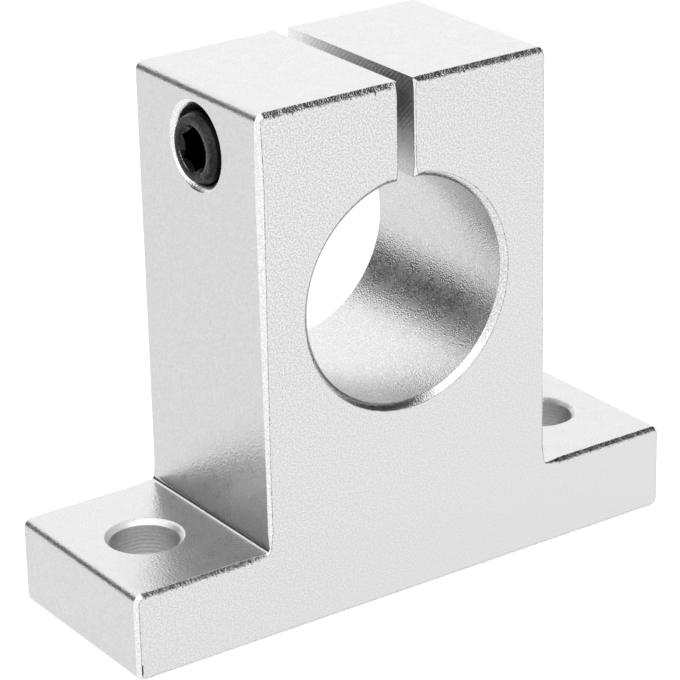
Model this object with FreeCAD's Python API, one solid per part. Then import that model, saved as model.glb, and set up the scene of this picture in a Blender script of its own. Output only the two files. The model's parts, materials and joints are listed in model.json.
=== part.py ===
import FreeCAD, Part
import math
import os

# Upright shaft support block with its clamp screw.
# One aluminium extrusion, an inverted T in section, is cut to length, bored for a linear shaft and
# slit from the bore to the top. A socket head cap screw crosses the slit: its head is sunk in the
# left jaw, its thread holds in the right jaw, and tightening it closes the bore on the shaft.
# Two ears of the base take the bolts that hold the block down.
# Frame: +X across the base, +Y along the shaft, +Z up, origin at the centre of the underside, in mm.

# Bore and the walls round it
shaft_diameter = 30.0
bore_clearance = 0.02
bore_height = 42.0
wall_beside_bore = 7.0
bore_chamfer = 0.8

# Block
block_length = 28.0
base_thickness = 12.0
ear_length = 20.0
profile_corner_radius = 1.2
profile_root_radius = 0.6
face_chamfer = 0.5

# Slit between the jaws
slit_width = 2.5
slit_edge_break = 0.3

# Holding-down bolts
bolt_diameter = 8.0
bolt_clearance = 0.5
bolt_hole_chamfer = 0.7

# Clamp screw
thread_diameter = 6.0
screw_length = 30.0
head_diameter = 9.8
head_height = 6.0
head_bevel_width = 0.75
head_bevel_depth = 0.8
head_edge_radius = 0.5
neck_fillet = 0.25
tip_chamfer = 0.8
key_width = 5.0
socket_depth = 3.0
socket_countersink = 0.1
socket_point_angle = 120.0
socket_turn = 5.0

# How the screw sits in the block
head_proud = 0.5
head_clearance = 0.4
shank_clearance = 0.3
thread_clearance = 0.05
counterbore_flare_width = 0.5
counterbore_flare_depth = 0.9
tapped_hole_chamfer = 0.5
wall_under_screw = 1.75
wall_over_counterbore = 2.65

# Sizes that follow from the ones above
bore_radius = shaft_diameter / 2 + bore_clearance
column_width = shaft_diameter + 2 * wall_beside_bore
block_width = column_width + 2 * ear_length
bolt_spacing = column_width + ear_length
bolt_hole_radius = bolt_diameter / 2 + bolt_clearance
clearance_hole_radius = thread_diameter / 2 + shank_clearance
tapped_hole_radius = thread_diameter / 2 + thread_clearance
counterbore_radius = head_diameter / 2 + head_clearance
counterbore_depth = head_height - head_proud
screw_height = bore_height + shaft_diameter / 2 + wall_under_screw + clearance_hole_radius
block_height = screw_height + counterbore_radius + wall_over_counterbore
jaw_face = column_width / 2
front = -block_length / 2
back = block_length / 2

# How far a cutter reaches past the face it opens
overshoot = 1.0

ALONG_X = FreeCAD.Vector(1, 0, 0)
ALONG_Y = FreeCAD.Vector(0, 1, 0)
ALONG_Z = FreeCAD.Vector(0, 0, 1)


def rounded_outline(corners):
    """Closed wire in the XZ plane through (x, z, radius) corners, each turned into a tangent arc."""
    arcs = []
    for index, (x, z, radius) in enumerate(corners):
        corner = FreeCAD.Vector(x, 0, z)
        before = FreeCAD.Vector(corners[index - 1][0], 0, corners[index - 1][1])
        following = corners[(index + 1) % len(corners)]
        after = FreeCAD.Vector(following[0], 0, following[1])
        back_along = (before - corner).normalize()
        on_along = (after - corner).normalize()
        half_angle = back_along.getAngle(on_along) / 2
        tangent_reach = radius / math.tan(half_angle)
        arc_gap = radius / math.sin(half_angle) - radius
        inward = (back_along + on_along).normalize()
        start = corner + back_along * tangent_reach
        end = corner + on_along * tangent_reach
        arcs.append((start, corner + inward * arc_gap, end))
    edges = []
    for index, (start, middle, end) in enumerate(arcs):
        edges.append(Part.LineSegment(arcs[index - 1][2], start).toShape())
        edges.append(Part.Arc(start, middle, end).toShape())
    return Part.Wire(edges)


def turned(stations, origin, axis):
    """Solid of revolution about axis, from (distance along it, radius) stations in order."""
    side = ALONG_Z if abs(axis.z) < 0.5 else ALONG_X
    first = origin + axis * stations[0][0]
    last = origin + axis * stations[-1][0]
    outline = [first] + [origin + axis * reach + side * radius for reach, radius in stations] + [last, first]
    return Part.Face(Part.makePolygon(outline)).revolve(origin, axis, 360)


def extruded_blank():
    """The inverted T of the extrusion, cut to length, with the edges of both cut faces chamfered."""
    half_width = block_width / 2
    corner = profile_corner_radius
    root = profile_root_radius
    outline = rounded_outline([
        (-half_width, 0, corner),
        (half_width, 0, corner),
        (half_width, base_thickness, corner),
        (jaw_face, base_thickness, root),
        (jaw_face, block_height, corner),
        (-jaw_face, block_height, corner),
        (-jaw_face, base_thickness, root),
        (-half_width, base_thickness, corner),
    ])
    blank = Part.Face(outline).extrude(ALONG_Y * block_length)
    blank.translate(ALONG_Y * front)
    rim = [edge for edge in blank.Edges if math.isclose(edge.firstVertex().Y, edge.lastVertex().Y)]
    return blank.makeChamfer(face_chamfer, rim)


def shaft_bore():
    """The bore's cutter, with a chamfer at each mouth."""
    return turned([
        (front, bore_radius + bore_chamfer),
        (front + bore_chamfer, bore_radius),
        (back - bore_chamfer, bore_radius),
        (back, bore_radius + bore_chamfer),
    ], ALONG_Z * bore_height, ALONG_Y)


def slit():
    """The saw cut from the bore to the top, flared at both faces by the edge break of the jaws."""
    half = slit_width / 2
    flared = half + slit_edge_break
    outline = [
        (-flared, front),
        (flared, front),
        (half, front + slit_edge_break),
        (half, back - slit_edge_break),
        (flared, back),
        (-flared, back),
        (-half, back - slit_edge_break),
        (-half, front + slit_edge_break),
        (-flared, front),
    ]
    floor = Part.Face(Part.makePolygon([FreeCAD.Vector(x, y, bore_height) for x, y in outline]))
    return floor.extrude(ALONG_Z * (block_height - bore_height + overshoot))


def bolt_hole(x):
    """A clearance hole down through the ear at x, chamfered where the bolt goes in."""
    return turned([
        (-overshoot, bolt_hole_radius),
        (base_thickness - bolt_hole_chamfer, bolt_hole_radius),
        (base_thickness, bolt_hole_radius + bolt_hole_chamfer),
    ], ALONG_X * x, ALONG_Z)


def screw_hole():
    """Counterbore and clearance hole in the left jaw, then the tapped hole through the right jaw."""
    return turned([
        (-jaw_face, counterbore_radius + counterbore_flare_width),
        (-jaw_face + counterbore_flare_depth, counterbore_radius),
        (-jaw_face + counterbore_depth, counterbore_radius),
        (-jaw_face + counterbore_depth, clearance_hole_radius),
        (0, clearance_hole_radius),
        (0, tapped_hole_radius),
        (jaw_face - tapped_hole_chamfer, tapped_hole_radius),
        (jaw_face, tapped_hole_radius + tapped_hole_chamfer),
    ], ALONG_Z * screw_height, ALONG_X)


def support_block():
    """The one-piece block."""
    block = extruded_blank()
    bolt_holes = [bolt_hole(side * bolt_spacing / 2) for side in (-1, 1)]
    for cutter in [shaft_bore(), slit(), screw_hole()] + bolt_holes:
        block = block.cut(cutter)
    return block


def key_socket(face):
    """The hexagon socket's cutter from the head's face at x = face, a corner nearly up, and a drilled point."""
    corner_radius = key_width / math.sqrt(3)
    mouth_radius = corner_radius + socket_countersink
    mouth_depth = mouth_radius - key_width / 2
    point_depth = key_width / 2 / math.tan(math.radians(socket_point_angle / 2))
    corners = []
    for turn in range(7):
        angle = math.radians(90 - socket_turn + 60 * turn)
        across = corner_radius * math.cos(angle)
        up = corner_radius * math.sin(angle)
        corners.append(FreeCAD.Vector(face, across, screw_height + up))
    prism = Part.Face(Part.makePolygon(corners)).extrude(ALONG_X * socket_depth)
    round_parts = turned([
        (0, mouth_radius),
        (mouth_depth, key_width / 2),
        (socket_depth, key_width / 2),
        (socket_depth + point_depth, 0),
    ], FreeCAD.Vector(face, 0, screw_height), ALONG_X)
    return prism.fuse(round_parts)


def round_edge_filleted(body, x, radius, fillet):
    """Body with its circular edge of that radius, square to X at x, filleted."""
    rings = []
    for edge in body.Edges:
        if isinstance(edge.Curve, Part.Circle) and math.isclose(edge.Curve.Radius, radius):
            if math.isclose(edge.Curve.Center.x, x):
                rings.append(edge)
    return body.makeFillet(fillet, rings)


def clamp_screw():
    """The socket head cap screw, its thread left as the cylinder of its outer diameter."""
    head_face = -jaw_face - head_proud
    seat = head_face + head_height
    tip = seat + screw_length
    head_radius = head_diameter / 2
    thread_radius = thread_diameter / 2
    bevel_foot = head_face + head_bevel_depth
    screw = turned([
        (head_face, head_radius - head_bevel_width),
        (bevel_foot, head_radius),
        (seat, head_radius),
        (seat, thread_radius),
        (tip - tip_chamfer, thread_radius),
        (tip, thread_radius - tip_chamfer),
    ], ALONG_Z * screw_height, ALONG_X)
    screw = round_edge_filleted(screw, bevel_foot, head_radius, head_edge_radius)
    screw = round_edge_filleted(screw, seat, thread_radius, neck_fillet)
    return screw.cut(key_socket(head_face))


os.makedirs("parts", exist_ok=True)
for node, shape in (("support_block", support_block()), ("clamp_screw", clamp_screw())):
    shape.exportStep("parts/" + node + ".step")
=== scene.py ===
"""Looks of a shaft support block: bead-blasted anodised aluminium with a black oxide cap screw.

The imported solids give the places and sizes. Two finer pieces stand for them: the block, with uneven
chamfers, nicks and a real tapped hole, and the screw, with its knurl, socket and thread.
"""

import json
import logging
import math
from collections.abc import Callable, Iterable, Sequence
from dataclasses import dataclass, field
from enum import Enum, auto
from itertools import groupby

import bmesh
import bpy
from mathutils import Matrix, Vector, geometry, noise


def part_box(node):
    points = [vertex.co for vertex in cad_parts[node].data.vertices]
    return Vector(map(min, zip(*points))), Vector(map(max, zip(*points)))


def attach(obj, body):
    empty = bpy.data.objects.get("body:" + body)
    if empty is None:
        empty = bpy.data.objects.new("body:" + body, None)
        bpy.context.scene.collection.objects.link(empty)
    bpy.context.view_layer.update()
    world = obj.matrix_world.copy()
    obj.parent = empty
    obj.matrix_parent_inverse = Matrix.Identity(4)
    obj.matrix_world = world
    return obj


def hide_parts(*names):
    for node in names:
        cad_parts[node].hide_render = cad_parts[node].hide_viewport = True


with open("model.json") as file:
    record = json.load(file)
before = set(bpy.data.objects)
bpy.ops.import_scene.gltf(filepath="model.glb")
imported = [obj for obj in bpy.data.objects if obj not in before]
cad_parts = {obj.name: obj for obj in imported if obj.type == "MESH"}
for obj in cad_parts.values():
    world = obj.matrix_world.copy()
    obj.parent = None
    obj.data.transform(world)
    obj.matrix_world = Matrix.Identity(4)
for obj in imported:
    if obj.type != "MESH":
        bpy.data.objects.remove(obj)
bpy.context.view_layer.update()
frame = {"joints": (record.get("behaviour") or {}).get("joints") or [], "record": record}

LOG = logging.getLogger("shaft_support")
MM = 0.001
Flat = tuple[float, float]
Point = tuple[float, float, float]
Tree = bpy.types.NodeTree
Socket = bpy.types.NodeSocket

# Blender's own name for how strongly a face holds its normal where it meets others, and its values
FACE_STRENGTH = "__mod_weightednormals_faceweight"
PLAIN_FACE = 0
STRONG_FACE = 16384

# One octave of Blender's noise lies mostly between these values
NOISE_RANGE = {"From Min": 0.3, "From Max": 0.7}


def linear(hex_colour: str) -> tuple[float, float, float, float]:
    """Turns an sRGB hex colour into linear red, green, blue and alpha.

    Args:
        hex_colour: Colour as "#rrggbb".

    Returns:
        The four channels, each from 0 to 1.
    """
    channels = [int(hex_colour[start:start + 2], 16) / 255 for start in (1, 3, 5)]
    toned = [c / 12.92 if c <= 0.04045 else ((c + 0.055) / 1.055) ** 2.4 for c in channels]
    return (*toned, 1.0)


def add_node(
    tree: Tree,
    kind: str,
    settings: dict[str | int, object] | None = None,
    links: dict[str | int, Socket] | None = None,
) -> bpy.types.Node:
    """Adds a node with its settings and links.

    Args:
        tree: Node tree that gets the node.
        kind: Blender's name for the node's type, without "ShaderNode".
        settings: Values by the name of an attribute, or by the name or number of an input.
        links: Output sockets by the name or number of the input that each one feeds.

    Returns:
        The new node.
    """
    node = tree.nodes.new("ShaderNode" + kind)
    for name, value in (settings or {}).items():
        if isinstance(name, str) and hasattr(node, name):
            setattr(node, name, value)
        else:
            node.inputs[name].default_value = value
    for name, source in (links or {}).items():
        tree.links.new(source, node.inputs[name])
    return node


def unit(azimuth_deg: float, elevation_deg: float) -> Point:
    """Direction of a line of sight.

    Args:
        azimuth_deg: Angle from +Y towards +X.
        elevation_deg: Angle above the horizon.

    Returns:
        The direction, one unit long.
    """
    azimuth = math.radians(azimuth_deg)
    elevation = math.radians(elevation_deg)
    level = math.cos(elevation)
    return (math.sin(azimuth) * level, math.cos(azimuth) * level, math.sin(elevation))


def spread(start: float, end: float, steps: int) -> list[float]:
    """Values from start to end in even steps, both ends with them."""
    return [start + (end - start) * at / steps for at in range(steps + 1)]


class ToolMark(Enum):
    """Lines that a tool leaves, by the axis that they repeat along."""

    NONE = ""
    ALONG_Z = "Z"
    SLANTED = "DIAGONAL"


@dataclass(frozen=True)
class MetalFinish:
    """A metal surface with blasting grain and, on cut surfaces, the tool's lines.

    A metal shows only what it mirrors, so its relief is seen where light meets dark, and its pits,
    which hold less light, are what shows in between. Depths are heights of the relief from its
    lowest to its highest point.
    """

    name: str
    colour: str
    pit_colour: str
    roughness: float
    grain_mm: float
    grain_depth_mm: float
    swell_mm: float = 1.6
    swell_depth_mm: float = 0.0
    mark: ToolMark = ToolMark.NONE
    mark_pitch_mm: float = 0.5
    mark_depth_mm: float = 0.0
    in_plane: bool = False
    roughness_spread: float = 0.03

    def material(self) -> bpy.types.Material:
        """Builds the material.

        Returns:
            The material, its relief and roughness driven by noise in the piece's own frame.
        """
        material = bpy.data.materials.new(self.name)
        material.use_nodes = True
        tree = material.node_tree
        tree.nodes.clear()
        place = add_node(tree, "TexCoord").outputs["Object"]
        grain_place, grain_space = place, "3D"
        if self.in_plane:
            # Grain drawn in the XZ plane has no long waves, which a plane cut through 3-D noise has
            grain_place = add_node(tree, "Mapping", {
                "Rotation": (math.radians(90), 0.0, 0.0),
            }, {"Vector": place}).outputs["Vector"]
            grain_space = "2D"
        grain = add_node(tree, "TexNoise", {
            "noise_dimensions": grain_space, "Scale": 1 / (self.grain_mm * MM), "Detail": 0.0,
        }, {"Vector": grain_place}).outputs["Fac"]
        swell = add_node(tree, "TexNoise", {
            "Scale": 1 / (self.swell_mm * MM), "Detail": 1.0,
        }, {"Vector": place}).outputs["Fac"]
        reliefs = [(grain, self.grain_depth_mm), (swell, self.swell_depth_mm)]
        if self.mark is not ToolMark.NONE:
            reliefs.append((self.tool_lines(tree, place), self.mark_depth_mm))
        below = {}
        for height, depth in reliefs:
            if depth:
                normal = add_node(tree, "Bump", {
                    "Strength": 1.0, "Distance": depth * MM,
                }, {"Height": height, **below}).outputs["Normal"]
                below = {"Normal": normal}
        wear = add_node(tree, "MapRange", {
            **NOISE_RANGE,
            "To Min": self.roughness - self.roughness_spread,
            "To Max": self.roughness + self.roughness_spread,
        }, {"Value": swell}).outputs["Result"]
        pits = add_node(tree, "MapRange", NOISE_RANGE, {"Value": grain}).outputs["Result"]
        if self.in_plane:
            pits = self.thinned(tree, place, pits)
        colour = add_node(tree, "Mix", {
            "data_type": "RGBA", 6: linear(self.pit_colour), 7: linear(self.colour),
        }, {"Factor": pits}).outputs[2]
        shader = add_node(tree, "BsdfPrincipled", {
            "Metallic": 1.0,
        }, {"Base Color": colour, "Roughness": wear, **below})
        add_node(tree, "OutputMaterial", links={"Surface": shader.outputs["BSDF"]})
        return material

    def thinned(self, tree: Tree, place: Socket, pits: Socket) -> Socket:
        """Evens out the pits towards the foot of the right ear.

        Args:
            tree: Node tree of the material.
            place: Coordinates of the shaded point.
            pits: Share of the unpitted metal, from 0 to 1.

        Returns:
            The share with its contrast thinned.
        """
        per_metre_left_and_up = (-6.5, 0.0, 10.0)
        share_at_origin = 0.28
        even_tone = 0.5
        rise = add_node(tree, "VectorMath", {
            "operation": "DOT_PRODUCT", 1: per_metre_left_and_up,
        }, {0: place}).outputs["Value"]
        share = add_node(tree, "MapRange", {
            "From Min": -share_at_origin, "From Max": 1 - share_at_origin,
        }, {"Value": rise}).outputs["Result"]
        return add_node(tree, "Mix", {
            "data_type": "FLOAT", "A": even_tone,
        }, {"Factor": share, "B": pits}).outputs["Result"]

    def tool_lines(self, tree: Tree, place: Socket) -> Socket:
        """Draws the tool's lines, which waver a little, as a tool that chatters leaves them.

        Args:
            tree: Node tree of the material.
            place: Coordinates of the shaded point.

        Returns:
            Height of the lines, from 0 to 1.
        """
        # The wave texture has 20 / (2 pi) waves in one unit at a scale of 1
        return add_node(tree, "TexWave", {
            "bands_direction": self.mark.value, "Scale": math.tau / 20 / (self.mark_pitch_mm * MM),
            "Distortion": 2.0, "Detail": 2.0, "Detail Scale": 0.6,
        }, {"Vector": place}).outputs["Fac"]


class Cut(Enum):
    """How each surface of the block was made, in the order of its material slots."""

    SKIN = 0
    FACE = 1
    CHAMFER = 2
    BORE = 3
    SLIT = 4
    DRILLED = 5
    THREADED = 6
    TURNED = 7
    BURR = 8
    DENT_SHADE = 9
    FILED = 10
    ROOT = 11


# Aluminium 6061, bead-blasted and clear anodised: near-white metal, soft gloss, fine even grain.
# The blasting's dimples are about 0.1 mm wide, and they are drawn about twice as wide, so that they show.
BLOCK_FINISHES = {
    # Drawn through the die: the sides are a little wavy, so their grain is longer and deeper
    Cut.SKIN: MetalFinish("aluminium_extruded_skin", "#d2d2d2", "#c9c9c9", 0.30, 0.26, 0.030),
    # The blasting hardly reaches the inner corners, which stay glossy from the die
    Cut.ROOT: MetalFinish("aluminium_root_fillet", "#cdcdcd", "#c9c9c9", 0.13, 0.26, 0.012),
    # Cut to length and blasted: the flattest surface, with the most even grain
    Cut.FACE: MetalFinish("aluminium_blasted_face", "#e6e6e6", "#c6c6c6", 0.34, 0.22, 0.014, in_plane=True),
    # Edges cut by a tool are brighter metal, and catch the light as thin lines
    Cut.CHAMFER: MetalFinish("aluminium_machined_chamfer", "#f1f1f1", "#dadada", 0.22, 0.22, 0.024),
    Cut.TURNED: MetalFinish("aluminium_turned_chamfer", "#e5e5e5", "#c6c6c6", 0.22, 0.22, 0.024),
    # A hand file leaves its edges scored, and a dull ragged burr beside them
    Cut.FILED: MetalFinish("aluminium_filed_chamfer", "#dedede", "#b2b2b2", 0.25, 0.22, 0.062),
    Cut.BURR: MetalFinish("aluminium_burred_edge", "#cccccc", "#808080", 0.30, 0.24, 0.040),
    # Knocked in handling: the dented metal is rough, and its colour is painted dark as shade in the nick
    Cut.DENT_SHADE: MetalFinish("aluminium_dent_painted_shade", "#707070", "#303030", 0.40, 0.20, 0.060),
    # Bored and then blasted: deep grain on a wall that is still glossy
    Cut.BORE: MetalFinish("aluminium_blasted_bore", "#d8d8d8", "#c5c5c5", 0.26, 0.20, 0.044),
    # The slitting saw leaves slanted lines, drawn 0.4 mm apart
    Cut.SLIT: MetalFinish(
        "aluminium_sawn_slit", "#ececec", "#d9d9d9", 0.32, 0.20, 0.010,
        mark=ToolMark.SLANTED, mark_pitch_mm=0.4, mark_depth_mm=0.012,
    ),
    # The drill's feed leaves rings about 0.2 mm apart, drawn wider, so that they show
    Cut.DRILLED: MetalFinish(
        "aluminium_drilled_hole", "#e1e1e1", "#d1d1d1", 0.40, 0.20, 0.010,
        mark=ToolMark.ALONG_Z, mark_pitch_mm=0.55, mark_depth_mm=0.011,
    ),
    # The tap's flanks are real shapes in the mesh, so only a fine grain is left to the finish
    Cut.THREADED: MetalFinish("aluminium_tapped_thread", "#d1d1d1", "#b5b5b5", 0.35, 0.3, 0.010),
}


class Oxide(Enum):
    """The screw's black oxide on each surface, with its painted shade and painted highlights, in the order
    of its slots.
    """

    FACE = 0
    PAINTED_SHADE = 1
    BARE_HIGHLIGHT = 2
    THIN_HIGHLIGHT = 3


# Black oxide on alloy steel: a thin dark magnetite layer, lightly oiled, so it mirrors a few percent.
SCREW_FINISHES = {
    # The head's face: a mottled layer, a little greyer where it is handled
    Oxide.FACE: MetalFinish("black_oxide_face", "#323232", "#262626", 0.24, 0.36, 0.050, 1.4, 0.050),
    # In the socket, on the knurl and down the shank the oxide is painted darker than the face: painted shade
    # in the recesses
    Oxide.PAINTED_SHADE: MetalFinish("black_oxide_painted_shade", "#161616", "#0e0e0e", 0.32, 0.30, 0.030, 1.0, 0.020),
    # Painted highlight on the edges, drawn as steel worn bare, speckled where the layer still holds
    Oxide.BARE_HIGHLIGHT: MetalFinish("steel_bare_painted_highlight", "#a4a4a4", "#303030", 0.26, 0.22, 0.040),
    # Painted highlight beside the edges, drawn as a layer worn thin: a dark grey that mirrors a little more
    Oxide.THIN_HIGHLIGHT: MetalFinish("black_oxide_thin_painted_highlight", "#4a4a4a", "#383838", 0.26, 0.30, 0.012),
}


@dataclass
class PatchMesh:
    """Points and faces of one piece, in millimetres, gathered patch by patch."""

    points: list[Point] = field(default_factory=list)
    faces: list[tuple[int, ...]] = field(default_factory=list)
    slots: list[int] = field(default_factory=list)
    strengths: list[int] = field(default_factory=list)

    def row(self, points: Iterable[Point]) -> list[int]:
        """Adds points.

        Args:
            points: The points, in order.

        Returns:
            Their numbers.
        """
        start = len(self.points)
        self.points.extend(points)
        return list(range(start, len(self.points)))

    def ring(
        self,
        columns: int,
        station: Callable[[float], Flat],
        place: Callable[[float, float, float], Point],
    ) -> list[int]:
        """Adds a closed ring of points.

        Args:
            columns: Number of points.
            station: Gives the reach along the ring's axis and the radius at a turn, from 0 to 1.
            place: Turns the reach along the axis and the two across it into a point.

        Returns:
            Their numbers.
        """
        points = []
        for column in range(columns):
            turn = column / columns
            along, radius = station(turn)
            angle = math.tau * turn
            points.append(place(along, radius * math.cos(angle), radius * math.sin(angle)))
        return self.row(points)

    def face(self, corners: Sequence[int], surface: Enum, strength: int = PLAIN_FACE) -> None:
        """Adds a face.

        Args:
            corners: Numbers of its points, in order.
            surface: How it was made, which gives its material slot.
            strength: How strongly it holds its normal.
        """
        self.faces.append(tuple(corners))
        self.slots.append(surface.value)
        self.strengths.append(strength)

    def strip(
        self,
        lower: Sequence[int],
        upper: Sequence[int],
        surface: Enum | Sequence[Enum],
        closed: bool = True,
        broad: bool = False,
    ) -> None:
        """Joins two rows of as many points with quads.

        Args:
            lower: First row.
            upper: Second row.
            surface: How all the faces were made, or each one.
            closed: Whether the rows run round and end where they start.
            broad: Whether the faces hold their own normals where they meet narrow ones.
        """
        strength = STRONG_FACE if broad else PLAIN_FACE
        for now in range(len(lower) if closed else len(lower) - 1):
            after = (now + 1) % len(lower)
            own = surface if isinstance(surface, Enum) else surface[now]
            self.face((lower[now], lower[after], upper[after], upper[now]), own, strength)

    def fan(self, rim: Sequence[int], tip: Point, surface: Enum) -> None:
        """Closes a rim with triangles to one point.

        Args:
            rim: Numbers of the rim's points.
            tip: Point that the triangles meet in.
            surface: How the faces were made.
        """
        hub = self.row([tip])[0]
        for now, start in enumerate(rim):
            self.face((start, rim[(now + 1) % len(rim)], hub), surface)

    def plate(self, rims: Sequence[Sequence[int]], across: Sequence[int], surface: Enum) -> None:
        """Fills a flat patch with triangles.

        Args:
            rims: Closed rims of the patch, the outer one first and then its round holes, left open.
            across: The two axes that the patch lies along, such as (0, 2).
            surface: How the faces were made.
        """
        members = [number for rim in rims for number in rim]
        owners = [order for order, rim in enumerate(rims) for _ in rim]
        flat = [Vector([self.points[number][axis] for axis in across]) for number in members]
        edges = []
        for rim in rims:
            start = len(edges)
            edges.extend((start + now, start + (now + 1) % len(rim)) for now in range(len(rim)))
        inside_the_rims, weld_gap = 1, 1e-7
        _, _, triangles, sources, _, _ = geometry.delaunay_2d_cdt(flat, edges, [], inside_the_rims, weld_gap)
        for triangle in triangles:
            corners = [sources[corner][0] for corner in triangle]
            rims_met = {owners[corner] for corner in corners}
            # A triangle that meets no rim but a hole's lies in the hole
            if len(rims_met) > 1 or rims_met == {0}:
                self.face([members[corner] for corner in corners], surface, STRONG_FACE)

    def build(self, name: str, finishes: dict[Enum, MetalFinish], crease_deg: float) -> bpy.types.Object:
        """Turns the patches into one closed piece.

        Args:
            name: Name of the piece.
            finishes: The finish of each kind of surface.
            crease_deg: Edges that turn by more than this stay sharp.

        Returns:
            The piece, in metres, with its materials.
        """
        mesh = bpy.data.meshes.new(name)
        mesh.from_pydata([[value * MM for value in point] for point in self.points], [], self.faces)
        mesh.polygons.foreach_set("material_index", self.slots)
        strength = mesh.attributes.new(FACE_STRENGTH, "INT", "FACE")
        strength.data.foreach_set("value", self.strengths)
        for surface in sorted(finishes, key=lambda surface: surface.value):
            mesh.materials.append(finishes[surface].material())
        work = bmesh.new()
        work.from_mesh(mesh)
        weld_gap = 0.001 * MM
        bmesh.ops.remove_doubles(work, verts=work.verts, dist=weld_gap)
        bmesh.ops.recalc_face_normals(work, faces=work.faces)
        for face in work.faces:
            face.smooth = True
        for edge in work.edges:
            edge.smooth = not edge.is_manifold or edge.calc_face_angle(0.0) < math.radians(crease_deg)
        loose = sum(not edge.is_manifold for edge in work.edges)
        work.to_mesh(mesh)
        work.free()
        piece = bpy.data.objects.new(name, mesh)
        bpy.context.scene.collection.objects.link(piece)
        weighted = piece.modifiers.new("even_shading", "WEIGHTED_NORMAL")
        # Weights by area would come out as nothing on a piece as small as this, in metres
        weighted.mode = "CORNER_ANGLE"
        weighted.keep_sharp = True
        weighted.use_face_influence = True
        LOG.info("%s: %d faces, %d open edges", name, len(mesh.polygons), loose)
        return piece


class Side(Enum):
    """Stretches of the block's section."""

    UNDERSIDE = auto()
    CORNER = auto()
    RIGHT_END = auto()
    RIGHT_EAR = auto()
    ROOT = auto()
    RIGHT_JAW = auto()
    RIGHT_TOP = auto()
    SLIT_RIGHT = auto()
    BORE = auto()
    SLIT_LEFT = auto()
    LEFT_TOP = auto()
    LEFT_JAW = auto()
    LEFT_EAR = auto()
    LEFT_END = auto()


EARS = (Side.LEFT_EAR, Side.RIGHT_EAR)
HAND_FILED = (Side.LEFT_TOP, Side.RIGHT_TOP, *EARS)
WALL_CUTS = {Side.BORE: Cut.BORE, Side.SLIT_LEFT: Cut.SLIT, Side.SLIT_RIGHT: Cut.SLIT, Side.ROOT: Cut.ROOT}
RIM_CUTS = {Side.BORE: Cut.TURNED, **{side: Cut.FILED for side in HAND_FILED}}


class RimStrip(Enum):
    """Strips round an end face, outwards: its rounded and burred edge, the chamfer, the far edge."""

    EDGE = 0
    SLOPE = 1
    FAR_EDGE = 2


class NoisePlane(Enum):
    """Planes of the noise that uneven edges follow, so far apart that no two are alike."""

    FRONT = 0.0
    BURR = 30.0
    BACK = 50.0


@dataclass(frozen=True)
class Nick:
    """A bruise in the front edge: its place on the section, its reach along it and over the face."""

    x: float
    z: float
    reach: float
    depth: float


@dataclass(frozen=True)
class EdgeWork:
    """How uneven handwork and wear leave the edges, in millimetres and in shares of a chamfer's width."""

    coarse_wave: float = 1.1
    fine_wave: float = 0.22
    coarse_share: float = 0.14
    fine_share: float = 0.05
    side_share: float = 0.10
    corner_share: float = 0.35
    corner_run_out: float = 2.2
    worn_top: float = 0.85
    worn_foot: float = 0.3
    burr_pitch: float = 0.28
    burr_reach: float = 0.6


@dataclass
class Station:
    """A point of the block's section with the direction into the metal, and its edge's chamfer."""

    x: float
    z: float
    into: Vector
    chamfer: float
    side: Side
    sharp: bool = False
    unevenness: float = 1.0


@dataclass
class SectionPen:
    """Draws the block's section as one closed line of points about a step apart, the metal on its left."""

    step: float
    chamfers: dict[Side, float]
    runs: list[list[Station]] = field(default_factory=list)

    def run(self, places: Sequence[tuple[Flat, Flat]], side: Side) -> None:
        """Adds a run of (place, direction of travel) pairs."""
        width = self.chamfers[side]
        self.runs.append([Station(x, z, Vector((-dz, dx)), width, side) for (x, z), (dx, dz) in places])

    def line(self, start: Flat, end: Flat, side: Side) -> None:
        """Adds a straight run.

        Args:
            start: First point.
            end: Last point.
            side: Stretch of the section that the run belongs to.
        """
        reach = Vector(end) - Vector(start)
        along = tuple(reach.normalized())
        count = max(1, round(reach.length / self.step))
        places = [(tuple(Vector(start) + reach * (at / count)), along) for at in range(count + 1)]
        self.run(places, side)

    def arc(self, centre: Flat, radius: float, angles: Flat, side: Side) -> None:
        """Adds an arc.

        Args:
            centre: Centre of the arc.
            radius: Its radius.
            angles: Its first and last angle, in degrees from +X towards +Z.
            side: Stretch of the section that the arc belongs to.
        """
        fewest = 10
        first, last = (math.radians(angle) for angle in angles)
        sense = 1 if last > first else -1
        count = max(fewest, round(abs(last - first) * radius / self.step))
        places = []
        for turn in spread(first, last, count):
            spot = (centre[0] + radius * math.cos(turn), centre[1] + radius * math.sin(turn))
            places.append((spot, (-math.sin(turn) * sense, math.cos(turn) * sense)))
        self.run(places, side)

    def closed(self) -> list[Station]:
        """Joins the runs, mitred where they meet at a corner, and smooths the change of chamfer.

        Returns:
            The stations. Chamfers filed by hand, along the top edges, are the most uneven.
        """
        turned, machined = 0.12, 0.35
        smooth_bend, blend_reach = 0.99, 1.5
        stations: list[Station] = []
        for number, run in enumerate(self.runs):
            before = self.runs[number - 1][-1]
            first = run[0]
            first.sharp = first.into.dot(before.into) < smooth_bend
            first.into = (first.into + before.into) / (1 + first.into.dot(before.into))
            stations.extend(run[:-1])
        blur = round(blend_reach / self.step)
        widths = [station.chamfer for station in stations]
        for number, station in enumerate(stations):
            near = [widths[(number + shift) % len(widths)] for shift in range(-blur, blur + 1)]
            station.chamfer = sum(near) / len(near)
            if station.sharp:
                # Towards a sharp corner the unevenness fades, so that the two chamfers meet there
                for shift in range(-blur, blur + 1):
                    beside = stations[(number + shift) % len(stations)]
                    beside.unevenness = min(beside.unevenness, abs(shift) / blur)
            if station.side is Side.BORE:
                station.unevenness *= turned
            elif station.side not in HAND_FILED:
                station.unevenness *= machined
        return stations


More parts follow.
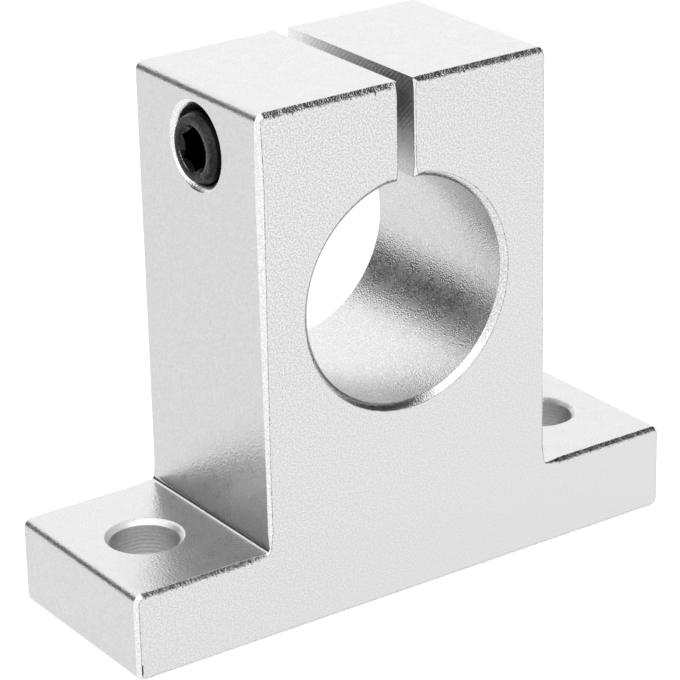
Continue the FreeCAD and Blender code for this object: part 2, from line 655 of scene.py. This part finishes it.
@dataclass
class SupportBlock:
    """The one-piece block. All sizes are in millimetres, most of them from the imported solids."""

    base_thickness: float = 12.0
    ear_length: float = 20.0
    corner_radius: float = 1.2
    root_radius: float = 0.6
    face_chamfer: float = 0.5
    filed_chamfer: float = 0.62
    bore_chamfer: float = 0.8
    slit_width: float = 2.5
    slit_edge: float = 0.2
    bolt_hole_chamfer: float = 0.7
    counterbore_radius: float = 5.15
    counterbore_chamfer: float = 0.7
    counterbore_depth: float = 5.5
    counterbore_rise: float = 0.3
    counterbore_rim_round: float = 0.09
    clearance_radius: float = 3.3
    tapped_radius: float = 3.05
    tapped_chamfer: float = 0.5
    thread_start: float = 14.2
    thread_pitch: float = 1.0
    thread_depth: float = 0.55
    thread_run_in: float = 0.5
    edge_round: float = 0.06
    crease_deg: float = 28.0
    step: float = 0.11
    columns: int = 128
    work: EdgeWork = EdgeWork()
    nicks: tuple[Nick, ...] = (
        Nick(-19.5, 70, 0.15, 0.15), Nick(-16.8, 70, 0.15, 0.3), Nick(-4.6, 70, 0.15, 0.15),
        Nick(8.9, 70, 0.15, 0.15), Nick(-42, 1.7, 0.8, 0.12),
    )

    def __post_init__(self) -> None:
        """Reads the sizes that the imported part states, and draws the section."""
        self.mesh = PatchMesh()
        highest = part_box("support_block")[1]
        self.half_width = highest.x / MM
        self.half_length = highest.y / MM
        self.height = highest.z / MM
        self.jaw_face = self.half_width - self.ear_length
        mounts = {mount["name"]: mount for mount in frame["record"]["mounts"]}
        self.bore_radius = mounts["shaft_bore"]["dims"]["r_mm"]
        self.bore_height = mounts["shaft_bore"]["pos_m"][2] / MM
        self.bolt_radius = mounts["base_bolts"]["dims"]["hole_r_mm"]
        self.bolt_x = mounts["base_bolts"]["dims"]["spacing_x_mm"] / 2
        self.screw_height = frame["joints"][0]["pos_m"][2] / MM
        self.stations = self.section()

    def section(self) -> list[Station]:
        """Draws the section: the inverted T, down the slit, round the bore and up again.

        Returns:
            Its points, in order.
        """
        pen = SectionPen(self.step, {
            **dict.fromkeys(Side, self.face_chamfer),
            **dict.fromkeys((Side.LEFT_TOP, Side.RIGHT_TOP), self.filed_chamfer),
            **dict.fromkeys((Side.SLIT_LEFT, Side.SLIT_RIGHT), self.slit_edge),
            Side.BORE: self.bore_chamfer,
        })
        corner, root = self.corner_radius, self.root_radius
        wide, jaw, slit = self.half_width, self.jaw_face, self.slit_width / 2
        base, top = self.base_thickness, self.height
        meets = math.degrees(math.acos(slit / self.bore_radius))
        slit_foot = self.bore_height + self.bore_radius * math.sin(math.radians(meets))
        pen.line((-wide + corner, 0), (wide - corner, 0), Side.UNDERSIDE)
        pen.arc((wide - corner, corner), corner, (-90, 0), Side.CORNER)
        pen.line((wide, corner), (wide, base - corner), Side.RIGHT_END)
        pen.arc((wide - corner, base - corner), corner, (0, 90), Side.CORNER)
        pen.line((wide - corner, base), (jaw + root, base), Side.RIGHT_EAR)
        pen.arc((jaw + root, base + root), root, (270, 180), Side.ROOT)
        pen.line((jaw, base + root), (jaw, top - corner), Side.RIGHT_JAW)
        pen.arc((jaw - corner, top - corner), corner, (0, 90), Side.CORNER)
        pen.line((jaw - corner, top), (slit, top), Side.RIGHT_TOP)
        pen.line((slit, top), (slit, slit_foot), Side.SLIT_RIGHT)
        for angles in ((meets, meets - 180), (meets - 180, -180 - meets)):
            pen.arc((0, self.bore_height), self.bore_radius, angles, Side.BORE)
        pen.line((-slit, slit_foot), (-slit, top), Side.SLIT_LEFT)
        pen.line((-slit, top), (-jaw + corner, top), Side.LEFT_TOP)
        pen.arc((-jaw + corner, top - corner), corner, (90, 180), Side.CORNER)
        pen.line((-jaw, top - corner), (-jaw, base + root), Side.LEFT_JAW)
        pen.arc((-jaw - root, base + root), root, (0, -90), Side.ROOT)
        pen.line((-jaw - root, base), (-wide + corner, base), Side.LEFT_EAR)
        pen.arc((-wide + corner, base - corner), corner, (90, 180), Side.CORNER)
        pen.line((-wide, base - corner), (-wide, corner), Side.LEFT_END)
        pen.arc((-wide + corner, corner), corner, (180, 270), Side.CORNER)
        return pen.closed()

    def chamfer_at(self, station: Station, front: bool) -> Flat:
        """Widths of the chamfer at a station: uneven, and narrower towards the inner corners.

        Args:
            station: Point of the section.
            front: True for the front face, False for the back one.

        Returns:
            The widths across the end face and along the side, in millimetres.
        """
        work = self.work
        width = station.chamfer
        if front and station.side is Side.LEFT_JAW:
            # The wear comes in over the lowest third of the jaw and goes out over its top sixth
            coming_in, going_out = 3, 6
            rise = (station.z - self.base_thickness) / (self.height - self.base_thickness)
            blend = min(1.0, coming_in * rise, going_out * (1 - rise))
            worn = work.worn_foot + (work.worn_top - work.worn_foot) * rise
            width += (worn - width) * blend
        inner_corner = math.hypot(abs(station.x) - self.jaw_face, station.z - self.base_thickness)
        run_out = min(1.0, max(0.0, inner_corner - self.root_radius) / work.corner_run_out)
        width *= work.corner_share + (1 - work.corner_share) * run_out
        plane = NoisePlane.FRONT if front else NoisePlane.BACK
        spot = Vector((station.x, plane.value, station.z))
        coarse = noise.noise(spot / work.coarse_wave)
        fine = noise.noise(spot / work.fine_wave)
        wander = work.coarse_share * coarse + work.fine_share * fine
        on_face = width * (1 + wander * station.unevenness)
        on_side = width * (1 + work.side_share * coarse * station.unevenness)
        return on_face, on_side

    def dent_at(self, station: Station) -> float:
        """How far the nicks in the front edge widen its rim over the face at a station."""
        return sum(
            nick.depth for nick in self.nicks
            if math.hypot(station.x - nick.x, station.z - nick.z) < nick.reach
        )

    def burr_at(self, station: Station) -> float:
        """How far the file's ragged burr runs out of the chamfer over the end face.

        Args:
            station: Point of the section.

        Returns:
            The reach in millimetres, nothing beside an edge that wasn't filed.
        """
        if station.side not in HAND_FILED:
            return 0.0
        spot = Vector((station.x, NoisePlane.BURR.value, station.z))
        ragged = noise.noise(spot / self.work.burr_pitch)
        return self.work.burr_reach * max(0.0, ragged) * station.unevenness

    def inset(self, insets: list[float]) -> list[Flat]:
        """Moves the section's outline into the metal, without folding over at its sharp corners.

        Args:
            insets: How far each point of the section moves.

        Returns:
            The moved points.
        """
        places = [
            (station.x + station.into.x * inset, station.z + station.into.y * inset)
            for station, inset in zip(self.stations, insets)
        ]
        looked_at = 30
        for number, corner in enumerate(self.stations):
            if not corner.sharp:
                continue
            for sense in (-1, 1):
                for shift in range(1, looked_at):
                    near = (number + sense * shift) % len(self.stations)
                    station = self.stations[near]
                    along = Vector((station.into.y, -station.into.x))
                    away = math.hypot(station.x - corner.x, station.z - corner.z)
                    if away < insets[number] * abs(corner.into.dot(along)):
                        # It would pass the corner's moved point, so it stays there
                        places[near] = places[number]
        return places

    def rim(self, front: bool) -> list[int]:
        """Adds one end of the block: its face and the chamfer round it.

        Args:
            front: True for the front face, False for the back one.

        Returns:
            Numbers of the points where the chamfer meets the sides.
        """
        sense = -1 if front else 1
        round_off, corner = self.edge_round, self.edge_round / math.sqrt(2)
        dents = [self.dent_at(station) if front else 0.0 for station in self.stations]
        profiles = []
        for station, dent in zip(self.stations, dents):
            on_face, on_side = self.chamfer_at(station, front)
            profiles.append((
                (on_face + round_off + self.burr_at(station) + dent, 0.0), (on_face - corner, corner),
                (corner, on_side - corner), (0.0, on_side + round_off),
            ))
        rows = []
        for line in zip(*profiles):
            places = self.inset([inward for inward, _ in line])
            rows.append(self.mesh.row(
                (x, sense * (self.half_length - down), z) for (x, z), (_, down) in zip(places, line)
            ))
        self.mesh.plate([rows[0]], (0, 2), Cut.FACE)
        for strip, outer, inner in zip(RimStrip, rows, rows[1:]):
            self.mesh.strip(outer, inner, [
                self.rim_cut(strip, station.side, dent > 0) for station, dent in zip(self.stations, dents)
            ])
        return rows[-1]

    @staticmethod
    def rim_cut(strip: RimStrip, side: Side, dented: bool) -> Cut:
        """How one face of the rim was made.

        Args:
            strip: The strip that it lies in.
            side: The stretch of the section beside it.
            dented: Whether a nick reaches it.

        Returns:
            The cut. The file also leaves its burr on the chamfers of the ears.
        """
        if strip is RimStrip.EDGE:
            # Where a nick reaches the edge, its colour is painted dark as shade
            return Cut.DENT_SHADE if dented else Cut.BURR
        if strip is RimStrip.SLOPE and side in EARS:
            return Cut.BURR
        return RIM_CUTS.get(side, Cut.CHAMFER)

    def build(self) -> bpy.types.Object:
        """Builds the block.

        Returns:
            The finished piece, riding on the block's body in place of its plain solid.
        """
        front = self.rim(True)
        back = self.rim(False)
        right_mouth, right_foot = self.bolt_hole(self.bolt_x)
        left_mouth, left_foot = self.bolt_hole(-self.bolt_x)
        counterbore, clearance = self.counterbore()
        tapped_mouth, tapped_start = self.tapped_hole()
        upright, level = (1, 2), (0, 1)
        pierced = {
            Side.RIGHT_EAR: (level, [right_mouth]),
            Side.LEFT_EAR: (level, [left_mouth]),
            Side.UNDERSIDE: (level, [right_foot, left_foot]),
            Side.LEFT_JAW: (upright, [counterbore]),
            Side.RIGHT_JAW: (upright, [tapped_mouth]),
            Side.SLIT_LEFT: (upright, [clearance]),
            Side.SLIT_RIGHT: (upright, [tapped_start]),
        }
        for side, run in groupby(range(len(self.stations)), lambda number: self.stations[number].side):
            members = list(run)
            members.append((members[-1] + 1) % len(self.stations))
            near = [front[number] for number in members]
            far = [back[number] for number in members]
            cut = WALL_CUTS.get(side, Cut.SKIN)
            if side in pierced:
                across, mouths = pierced[side]
                self.mesh.plate([near + far[::-1], *mouths], across, cut)
            else:
                self.mesh.strip(near, far, cut, closed=False, broad=True)
        piece = self.mesh.build("machined_block", BLOCK_FINISHES, self.crease_deg)
        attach(piece, "block")
        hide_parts("support_block")
        return piece

    def bolt_hole(self, x: float) -> tuple[list[int], list[int]]:
        """Adds a bolt hole through an ear.

        Args:
            x: Place of the hole across the base.

        Returns:
            Its mouths at the top and at the underside.
        """
        top, round_off = self.base_thickness, self.edge_round
        wide = self.bolt_radius + self.bolt_hole_chamfer
        stages = [
            (wide + round_off, top), (wide - round_off, top - round_off),
            (self.bolt_radius + round_off, top - self.bolt_hole_chamfer + round_off),
            (self.bolt_radius, top - self.bolt_hole_chamfer - round_off), (self.bolt_radius, 0.0),
        ]
        rows = [
            self.mesh.ring(self.columns, lambda turn: (z, radius), lambda z, a, b: (x + a, b, z))
            for radius, z in stages
        ]
        for upper, lower in zip(rows, rows[1:]):
            self.mesh.strip(upper, lower, Cut.DRILLED, broad=lower is rows[-1])
        return rows[0], rows[-1]

    def counterbore(self) -> tuple[list[int], list[int]]:
        """Adds the counterbore and clearance hole in the left jaw.

        In the photo the counterbore lies a little above the screw, so its gap is wider at the top.

        Returns:
            Their mouths in the jaw's face and in the slit.
        """
        face, wide, round_off = -self.jaw_face, self.counterbore_radius, self.edge_round
        seat = face + self.counterbore_depth
        rim = wide + self.counterbore_chamfer
        # The lip's rounding: how far out of the rim and into the face, as shares of its radius
        lip = ((1.0, 0.0), (0.38, 0.16), (-0.7, 0.7))
        reach = self.counterbore_rim_round
        stages = [(rim + reach * out, face + reach * down) for out, down in lip]
        stages.append((wide + round_off, face + self.counterbore_chamfer - round_off))
        chamfer_strips = len(stages)
        stages += [(wide, face + self.counterbore_chamfer + round_off), (wide, seat)]
        rows = [self.cross_ring(lambda turn: (x, radius), self.counterbore_rise) for radius, x in stages]
        for x in (seat, -self.slit_width / 2):
            rows.append(self.cross_ring(lambda turn: (x, self.clearance_radius)))
        for number, (outer, inner) in enumerate(zip(rows, rows[1:])):
            cut = Cut.CHAMFER if number < chamfer_strips else Cut.DRILLED
            self.mesh.strip(outer, inner, cut, broad=cut is Cut.DRILLED)
        return rows[0], rows[-1]

    def tapped_hole(self) -> tuple[list[int], list[int]]:
        """Adds the tapped hole in the right jaw, its thread drawn past the screw's tip only.

        Returns:
            Its mouths in the jaw's face and in the slit.
        """
        foot, radius = self.jaw_face - self.tapped_chamfer, self.tapped_radius
        start, pitch, rows_per_turn = self.thread_start, self.thread_pitch, 10
        rows = [self.cross_ring(lambda turn: (x, radius)) for x in (self.slit_width / 2, start)]
        for x in spread(start, foot, round((foot - start) / pitch * rows_per_turn))[1:-1]:
            rise = min(1.0, (x - start) / self.thread_run_in)
            rows.append(self.cross_ring(
                lambda turn: (x, radius - thread_wave(x / pitch - turn) * self.thread_depth * rise),
            ))
        rows.append(self.cross_ring(lambda turn: (foot, radius)))
        for inner, outer in zip(rows, rows[1:]):
            self.mesh.strip(inner, outer, Cut.THREADED, broad=inner is rows[0])
        mouth = self.cross_ring(lambda turn: (self.jaw_face, radius + self.tapped_chamfer))
        self.mesh.strip(rows[-1], mouth, Cut.CHAMFER)
        return mouth, rows[0]

    def cross_ring(self, station: Callable[[float], Flat], lift: float = 0.0) -> list[int]:
        """Adds a ring round the clamp screw's axis, or lifted from it, by x and the radius at each turn."""
        height = self.screw_height + lift
        return self.mesh.ring(self.columns, station, lambda x, a, b: (x, a, height + b))


def thread_wave(turns: float) -> float:
    """Height of a 60 degree thread.

    Args:
        turns: Place along its axis, in pitches.

    Returns:
        The height, from 0 at the root to 1 at the crest.
    """
    away = abs(turns % 1.0 - 0.5) * 2
    crest_flat, root_flat = 0.125, 0.25
    return min(1.0, max(0.0, (1 - away - root_flat) / (1 - crest_flat - root_flat)))


@dataclass(frozen=True)
class HighlightArc:
    """A painted highlight, drawn as worn oxide, on part of a strip round the head, from one turn to another,
    0 to 1 from straight up.
    """

    strip: int
    start: float
    end: float
    left: Oxide


@dataclass
class ClampScrew:
    """The M6 socket head cap screw, lying along X with its head to the left, in millimetres."""

    head_radius: float = 4.85
    head_height: float = 6.0
    flat_radius: float = 4.2
    flat_round: float = 0.12
    bevel_radius: float = 4.5
    bevel_depth: float = 0.8
    knurl_start: float = 1.4
    knurl_end_gap: float = 0.35
    knurl_depth: float = 0.11
    knurl_count: int = 60
    seat_bevel: float = 0.25
    neck_fillet: float = 0.25
    key_width: float = 5.0
    socket_mouth: float = 3.12
    mouth_round: float = 0.07
    mouth_slope: float = 0.8
    socket_depth: float = 3.0
    socket_turn_deg: float = 5.0
    drill_gap: float = 0.03
    drill_slope_deg: float = 30.0
    thread_radius: float = 3.0
    thread_root: float = 2.4
    thread_pitch: float = 1.0
    plain_shank: float = 6.0
    tip_chamfer: float = 0.8
    crease_deg: float = 38.0
    columns: int = 240
    shaded_mouth: Flat = (0.50, 0.70)
    # Painted highlights on the head's edges: strip, first and last turn, and the colour given
    highlight_arcs: tuple[HighlightArc, ...] = (
        HighlightArc(0, 0.55, 0.72, Oxide.BARE_HIGHLIGHT), HighlightArc(1, 0.58, 0.70, Oxide.BARE_HIGHLIGHT),
        HighlightArc(5, 0.78, 1.00, Oxide.THIN_HIGHLIGHT), HighlightArc(5, 0.11, 0.20, Oxide.THIN_HIGHLIGHT),
        HighlightArc(6, 0.08, 0.25, Oxide.THIN_HIGHLIGHT), HighlightArc(7, 0.13, 0.18, Oxide.THIN_HIGHLIGHT),
    )

    def __post_init__(self) -> None:
        """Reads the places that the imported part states."""
        self.mesh = PatchMesh()
        lowest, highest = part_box("clamp_screw")
        self.face = lowest.x / MM
        self.tip = highest.x / MM
        self.height = frame["joints"][0]["pos_m"][2] / MM

    def ring(self, station: Callable[[float], Flat]) -> list[int]:
        """Adds a ring by x and the radius at each turn, from 0 to 1, from straight up."""
        return self.mesh.ring(self.columns, station, lambda x, a, b: (x, -b, self.height + a))

    def hexagon(self, turn: float) -> float:
        """Distance from the axis to the socket's wall at a turn, with a corner nearly straight up."""
        from_corner = math.tau * turn + math.radians(self.socket_turn_deg)
        return self.key_width / 2 / math.cos(from_corner % (math.tau / 6) - math.tau / 12)

    def socket(self) -> list[int]:
        """Adds the hexagon socket, from its drilled point to its countersunk mouth.

        Returns:
            Numbers of the mouth's points.
        """
        drilled = self.key_width / 2 - self.drill_gap
        floor = self.face + self.socket_depth
        point = floor + drilled * math.tan(math.radians(self.drill_slope_deg))
        inner = self.ring(lambda turn: (floor, drilled))
        # The socket's inside is painted dark as shade
        self.mesh.fan(inner, (point, 0.0, self.height), Oxide.PAINTED_SHADE)
        foot = self.ring(lambda turn: (floor, self.hexagon(turn)))
        self.mesh.strip(inner, foot, Oxide.PAINTED_SHADE)
        lip = self.face + self.mouth_round
        edge = self.ring(lambda turn: (
            lip + (self.socket_mouth - self.hexagon(turn)) * self.mouth_slope, self.hexagon(turn),
        ))
        self.mesh.strip(foot, edge, Oxide.PAINTED_SHADE)
        mouth = self.ring(lambda turn: (lip, self.socket_mouth))
        # Over part of its turn the mouth's edge is painted dark as shade
        start, end = self.shaded_mouth
        self.mesh.strip(edge, mouth, [
            Oxide.PAINTED_SHADE if start < column / self.columns < end else Oxide.FACE
            for column in range(self.columns)
        ])
        return mouth

    def head_stages(self) -> list[Flat]:
        """Draws the head's flat top and its steep bevel.

        Returns:
            Stations of (distance from the face, radius).
        """
        turned = self.socket_mouth + self.mouth_round
        middle = self.mouth_round * (1 - math.sqrt(0.5))
        stages = [(middle, turned - self.mouth_round * math.sqrt(0.5)), (0.0, turned)]
        slope = math.atan2(self.bevel_depth, self.bevel_radius - self.flat_radius)
        round_steps = 5
        for turn in spread(0.0, slope, round_steps):
            across = self.flat_radius - self.flat_round * (1 - math.sin(turn))
            stages.append((self.flat_round * (1 - math.cos(turn)), across))
        stages.append((self.bevel_depth, self.bevel_radius))
        side = self.head_radius - self.knurl_depth
        middle, share_out = (self.bevel_depth + self.knurl_start) / 2, 0.6
        stages.append((middle, self.bevel_radius + (side - self.bevel_radius) * share_out))
        return stages

    def knurled(self, turn: float) -> float:
        """Radius of the head's knurled side at a turn."""
        return self.head_radius - self.knurl_depth * abs(turn * self.knurl_count % 1.0 * 2 - 1)

    def thread_at(self, x: float, turn: float) -> float:
        """Radius of the threaded shank.

        Args:
            x: Place along the axis.
            turn: From 0 to 1, from straight up.

        Returns:
            The radius in millimetres.
        """
        start = self.face + self.head_height + self.plain_shank
        depth = (self.thread_radius - self.thread_root) * min(1.0, max(0.0, x - start))
        radius = self.thread_radius - depth * (1 - thread_wave(x / self.thread_pitch - turn))
        tip_limit = self.thread_radius - self.tip_chamfer + (self.tip - x)
        return min(radius, tip_limit)

    def build(self) -> bpy.types.Object:
        """Builds the screw.

        Returns:
            The finished piece, riding on the screw's body in place of its plain solid.
        """
        rows = [self.socket()]
        head = self.head_stages()
        face_strips = len(head) - 1
        rows += [self.ring(lambda turn: (self.face + depth, radius)) for depth, radius in head]
        seat = self.face + self.head_height
        for x in (self.face + self.knurl_start, seat - self.knurl_end_gap):
            rows.append(self.ring(lambda turn: (x, self.knurled(turn))))
        # The fillet's middle, as shares of its radius along the neck and towards it
        along, inward = 0.32, 0.64
        neck = self.thread_radius + self.neck_fillet
        for station in (
            (seat, self.head_radius - self.seat_bevel), (seat, neck),
            (seat + self.neck_fillet * along, neck - self.neck_fillet * inward),
            (seat + self.neck_fillet, self.thread_radius),
        ):
            rows.append(self.ring(lambda turn: station))
        start = seat + self.plain_shank
        rows_per_turn = 6
        for x in spread(start, self.tip, round((self.tip - start) / self.thread_pitch * rows_per_turn)):
            rows.append(self.ring(lambda turn: (x, self.thread_at(x, turn))))
        for number, (inner, outer) in enumerate(zip(rows, rows[1:])):
            # Past the head's face the oxide is painted darker as shade
            oxide = [Oxide.FACE if number < face_strips else Oxide.PAINTED_SHADE] * self.columns
            # Painted highlights on arcs of the head's edges
            for arc in self.highlight_arcs:
                if arc.strip == number:
                    for column in range(round(arc.start * self.columns), round(arc.end * self.columns)):
                        oxide[column] = arc.left
            self.mesh.strip(inner, outer, oxide)
        self.mesh.fan(rows[-1], (self.tip, 0.0, self.height), Oxide.PAINTED_SHADE)
        piece = self.mesh.build("socket_cap_screw", SCREW_FINISHES, self.crease_deg)
        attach(piece, "screw")
        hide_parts("clamp_screw")
        return piece


@dataclass(frozen=True)
class SoftZone:
    """A round soft-edged part of the studio's surroundings, brighter or darker than the rest."""

    azimuth_deg: float
    elevation_deg: float
    radius_deg: float
    soft_deg: float
    brightness: float


@dataclass
class Studio:
    """A white tent on a pale table: even light, a key light, a duller wall and two dark openings."""

    tent: float = 1.7
    key: SoftZone = SoftZone(-160.0, 50.0, 18.0, 22.0, 2.35)
    front_wall: SoftZone = SoftZone(-130.0, 6.0, 18.0, 18.0, 1.35)
    gap_behind: SoftZone = SoftZone(-40.0, 14.5, 13.0, 18.0, 0.10)
    gap_above: SoftZone = SoftZone(105.0, 36.0, 21.0, 24.0, 0.06)
    table_half_m: float = 3.0
    table_colour: str = "#6a6a6a"
    table_glow: float = 0.96

    def surroundings(self) -> None:
        """Lights the scene from all round, with the zones mixed into the even tent."""
        world = bpy.data.worlds.new("white_tent")
        world.use_nodes = True
        bpy.context.scene.world = world
        tree = world.node_tree
        tree.nodes.clear()
        direction = add_node(tree, "TexCoord").outputs["Generated"]
        brightness = add_node(tree, "Value").outputs[0]
        brightness.default_value = self.tent
        for zone in (self.key, self.front_wall, self.gap_behind, self.gap_above):
            towards = unit(zone.azimuth_deg, zone.elevation_deg)
            cosine = add_node(tree, "VectorMath", {"operation": "DOT_PRODUCT", 1: towards},
                              {0: direction}).outputs["Value"]
            share = add_node(tree, "MapRange", {
                "interpolation_type": "SMOOTHSTEP",
                "From Min": math.cos(math.radians(zone.radius_deg + zone.soft_deg)),
                "From Max": math.cos(math.radians(zone.radius_deg)),
            }, {"Value": cosine}).outputs["Result"]
            brightness = add_node(tree, "Mix", {"data_type": "FLOAT", "B": zone.brightness},
                                  {"Factor": share, "A": brightness}).outputs["Result"]
        seen = add_node(tree, "LightPath").outputs["Is Camera Ray"]
        shown = add_node(tree, "Mix", {"data_type": "FLOAT", "B": 1.0},
                         {"Factor": seen, "A": brightness}).outputs["Result"]
        light = add_node(tree, "Background", links={"Strength": shown})
        add_node(tree, "OutputWorld", links={"Surface": light.outputs["Background"]})

    def table(self) -> None:
        """Lays the pale lit table that the block stands on."""
        mesh = bpy.data.meshes.new("table")
        reach = self.table_half_m
        corners = [(-reach, -reach, 0), (reach, -reach, 0), (reach, reach, 0), (-reach, reach, 0)]
        mesh.from_pydata(corners, [], [(0, 1, 2, 3)])
        material = bpy.data.materials.new("matt_table")
        material.use_nodes = True
        tree = material.node_tree
        tree.nodes.clear()
        # Opal acrylic lit from below: matt white with a little glow, so shadows stay faint
        shader = add_node(tree, "BsdfPrincipled", {
            "Base Color": linear(self.table_colour), "Roughness": 1.0, "Specular IOR Level": 0.0,
            "Emission Color": linear("#ffffff"), "Emission Strength": self.table_glow,
        })
        add_node(tree, "OutputMaterial", links={"Surface": shader.outputs["BSDF"]})
        mesh.materials.append(material)
        table = bpy.data.objects.new("table", mesh)
        bpy.context.scene.collection.objects.link(table)

    def build(self) -> None:
        """Builds the surroundings and the table, and leaves tones as they are lit."""
        self.surroundings()
        self.table()
        bpy.context.scene.view_settings.view_transform = "Standard"


@dataclass
class PhotoCamera:
    """The camera where the photograph was taken, found by fitting the block's edges to it."""

    place_mm: Point = (-212.6, -307.91, 187.78)
    azimuth_deg: float = 34.49
    drop_deg: float = 22.75
    roll_deg: float = -1.28
    focal_pixels: float = 3105.0
    frame_pixels: float = 680.0
    sensor_mm: float = 36.0

    def build(self) -> None:
        """Places the camera and makes it the scene's own."""
        forward = Vector(unit(self.azimuth_deg, -self.drop_deg))
        level = forward.cross(Vector((0, 0, 1))).normalized()
        upright = level.cross(forward)
        roll = math.radians(self.roll_deg)
        right = level * math.cos(roll) + upright * math.sin(roll)
        up = upright * math.cos(roll) - level * math.sin(roll)
        lens = bpy.data.cameras.new("photo_camera")
        lens.sensor_width = self.sensor_mm
        lens.lens = self.focal_pixels / self.frame_pixels * self.sensor_mm
        lens.clip_start = 0.01
        camera = bpy.data.objects.new("photo_camera", lens)
        turned = Matrix((right, up, -forward)).transposed().to_4x4()
        camera.matrix_world = Matrix.Translation(Vector(self.place_mm) * MM) @ turned
        bpy.context.scene.collection.objects.link(camera)
        bpy.context.scene.camera = camera


def main() -> None:
    """Builds the pieces, the studio and the camera."""
    logging.basicConfig(level=logging.INFO, format="%(name)s: %(message)s")
    for assembly in (SupportBlock, ClampScrew):
        piece = assembly().build()
        LOG.info("built %s", piece.name)
    Studio().build()
    LOG.info("built the studio")
    PhotoCamera().build()


if __name__ == "__main__":
    main()
